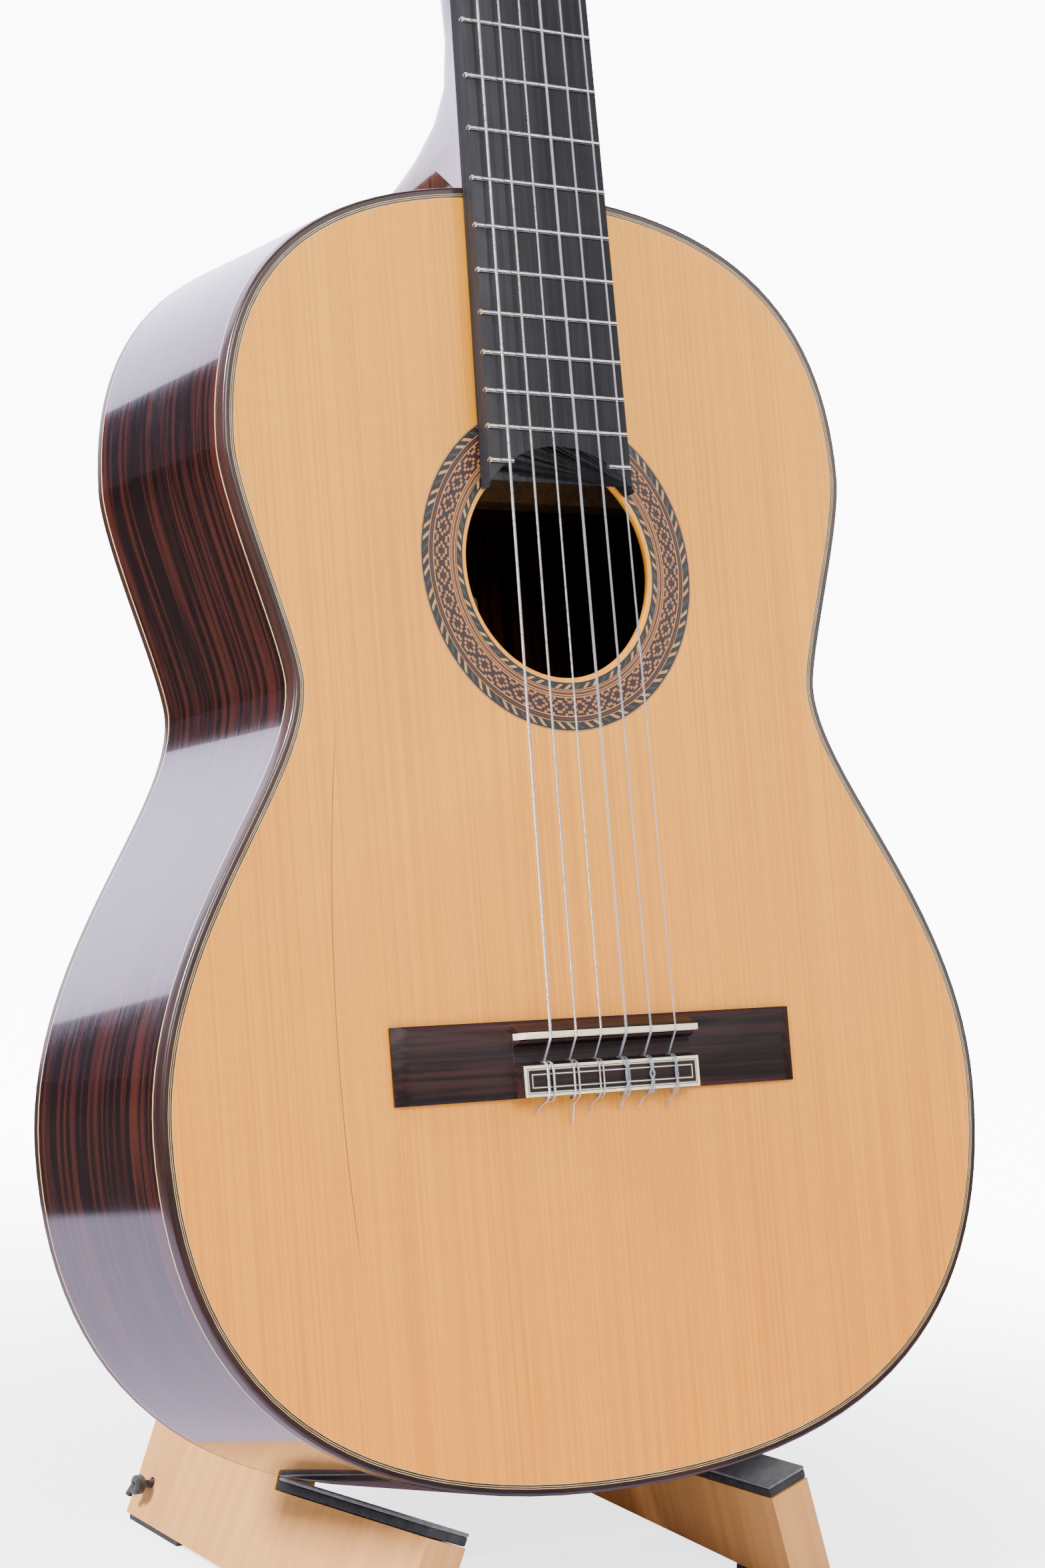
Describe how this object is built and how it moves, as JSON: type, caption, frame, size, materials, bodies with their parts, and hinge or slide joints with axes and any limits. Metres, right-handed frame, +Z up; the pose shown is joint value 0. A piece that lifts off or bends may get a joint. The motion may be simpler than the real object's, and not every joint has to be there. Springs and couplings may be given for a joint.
{
  "type": "guitar on stand",
  "caption": "Classical guitar with slotted head and turning tuners, leaning on a folding pale wooden stand with padded seats and a spread cord",
  "frame": {"origin": "on the floor under the middle of the object's box, between the stand's feet", "axes": "+Z up, +X to the right seen from the front, +Y towards the back; the guitar's soundboard faces -Y and leans back"},
  "size_m": [0.3748, 0.3138, 1.0177],
  "materials": {
    "spruce_top": "glossy honey-coloured spruce with fine straight grain",
    "rosette_mosaic": "glossy inlaid wood mosaic in brown, tan and black rings",
    "inner_wood": "bare pale wood, unfinished",
    "rosewood": "high-gloss dark rosewood with red-brown streaks",
    "binding": "high-gloss dark binding with a thin yellow line",
    "bridge_wood": "satin dark rosewood",
    "neck_wood": "glossy dark brown mahogany",
    "ebony": "matt charcoal ebony with faint streaks",
    "bone": "polished ivory-white bone",
    "brass": "polished brass",
    "clear_nylon": "clear glossy nylon",
    "wound_metal": "silver-plated wire winding",
    "pearloid_button": "glossy cream pearloid",
    "roller_white": "white roller on a brass gear",
    "stand_wood": "pale maple with a thin satin lacquer",
    "black_foam": "soft matt black foam",
    "black_rubber": "matt black rubber",
    "steel": "plain steel bolt",
    "black_cord": "matt black braided cord"
  },
  "bodies": {
    "stand": {"left_leg": "stand_wood", "left_seat_pad": "black_foam", "left_back_pad": "black_foam", "left_front_foot": "black_rubber", "left_rear_foot": "black_rubber", "pivot_pin": "steel", "pivot_washer": "brass", "spread_cord": "black_cord"},
    "folding_leg": {"right_leg": "stand_wood", "right_seat_pad": "black_foam", "right_back_pad": "black_foam", "right_front_foot": "black_rubber", "right_rear_foot": "black_rubber"},
    "guitar": {"soundboard": "spruce_top", "rosette": "rosette_mosaic", "harmonic_bar_upper": "inner_wood", "harmonic_bar_lower": "inner_wood", "fan_brace_1": "inner_wood", "fan_brace_2": "inner_wood", "fan_brace_3": "inner_wood", "fan_brace_4": "inner_wood", "fan_brace_5": "inner_wood", "back_plate": "rosewood", "back_brace_1": "inner_wood", "back_brace_2": "inner_wood", "back_brace_3": "inner_wood", "bass_side": "rosewood", "treble_side": "rosewood", "front_binding": "binding", "back_binding": "binding", "front_lining": "inner_wood", "back_lining": "inner_wood", "tail_block": "neck_wood", "neck": "neck_wood", "heel_cap": "rosewood", "fingerboard": "ebony", "nut": "bone", "bridge": "bridge_wood", "saddle": "bone", "headstock": "neck_wood", "tuner_plate_bass": "brass", "tuner_plate_treble": "brass", "string_1": "clear_nylon", "string_2": "clear_nylon", "string_3": "clear_nylon", "string_4": "wound_metal", "string_5": "wound_metal", "string_6": "wound_metal"},
    "knob_6": {"tuner_knob_6": "pearloid_button"},
    "roller_6": {"tuner_roller_6": "roller_white"},
    "knob_5": {"tuner_knob_5": "pearloid_button"},
    "roller_5": {"tuner_roller_5": "roller_white"},
    "knob_4": {"tuner_knob_4": "pearloid_button"},
    "roller_4": {"tuner_roller_4": "roller_white"},
    "knob_3": {"tuner_knob_3": "pearloid_button"},
    "roller_3": {"tuner_roller_3": "roller_white"},
    "knob_2": {"tuner_knob_2": "pearloid_button"},
    "roller_2": {"tuner_roller_2": "roller_white"},
    "knob_1": {"tuner_knob_1": "pearloid_button"},
    "roller_1": {"tuner_roller_1": "roller_white"}
  },
  "joints": [
    {"name": "guitar_lift", "type": "slide", "parent": "stand", "child": "guitar", "axis": [0, 0, 1], "range_m": [0, 0.3]},
    {"name": "stand_fold", "type": "hinge", "parent": "stand", "child": "folding_leg", "pos_m": [0, -0.11628, 0.2353], "axis": [0, 1, 0], "range_deg": [0, 36], "deforming": ["spread_cord"]},
    {"name": "knob_spin_6", "type": "hinge", "parent": "guitar", "child": "knob_6", "pos_m": [-0.0389, 0.07764, 0.89491], "axis": [0, 0.8746, -0.4848], "continuous": true},
    {"name": "roller_spin_6", "type": "hinge", "parent": "guitar", "child": "roller_6", "pos_m": [0, 0.07284, 0.88625], "axis": [1, 0, 0], "continuous": true},
    {"name": "knob_spin_5", "type": "hinge", "parent": "guitar", "child": "knob_5", "pos_m": [-0.0389, 0.0946, 0.92552], "axis": [0, 0.8746, -0.4848], "continuous": true},
    {"name": "roller_spin_5", "type": "hinge", "parent": "guitar", "child": "roller_5", "pos_m": [0, 0.0898, 0.91686], "axis": [1, 0, 0], "continuous": true},
    {"name": "knob_spin_4", "type": "hinge", "parent": "guitar", "child": "knob_4", "pos_m": [-0.0389, 0.11157, 0.95613], "axis": [0, 0.8746, -0.4848], "continuous": true},
    {"name": "roller_spin_4", "type": "hinge", "parent": "guitar", "child": "roller_4", "pos_m": [0, 0.10677, 0.94748], "axis": [1, 0, 0], "continuous": true},
    {"name": "knob_spin_3", "type": "hinge", "parent": "guitar", "child": "knob_3", "pos_m": [0.0389, 0.11157, 0.95613], "axis": [0, 0.8746, -0.4848], "continuous": true},
    {"name": "roller_spin_3", "type": "hinge", "parent": "guitar", "child": "roller_3", "pos_m": [0, 0.10677, 0.94748], "axis": [1, 0, 0], "continuous": true},
    {"name": "knob_spin_2", "type": "hinge", "parent": "guitar", "child": "knob_2", "pos_m": [0.0389, 0.0946, 0.92552], "axis": [0, 0.8746, -0.4848], "continuous": true},
    {"name": "roller_spin_2", "type": "hinge", "parent": "guitar", "child": "roller_2", "pos_m": [0, 0.0898, 0.91686], "axis": [1, 0, 0], "continuous": true},
    {"name": "knob_spin_1", "type": "hinge", "parent": "guitar", "child": "knob_1", "pos_m": [0.0389, 0.07764, 0.89491], "axis": [0, 0.8746, -0.4848], "continuous": true},
    {"name": "roller_spin_1", "type": "hinge", "parent": "guitar", "child": "roller_1", "pos_m": [0, 0.07284, 0.88625], "axis": [1, 0, 0], "continuous": true}
  ],
  "couplings": [
    {"joint": "stand_fold", "follows": "guitar_lift", "rad_per_m": 2.09},
    {"joint": "roller_spin_6", "follows": "knob_spin_6", "ratio": 0.071429},
    {"joint": "roller_spin_5", "follows": "knob_spin_5", "ratio": 0.071429},
    {"joint": "roller_spin_4", "follows": "knob_spin_4", "ratio": 0.071429},
    {"joint": "roller_spin_3", "follows": "knob_spin_3", "ratio": 0.071429},
    {"joint": "roller_spin_2", "follows": "knob_spin_2", "ratio": 0.071429},
    {"joint": "roller_spin_1", "follows": "knob_spin_1", "ratio": 0.071429}
  ]
}
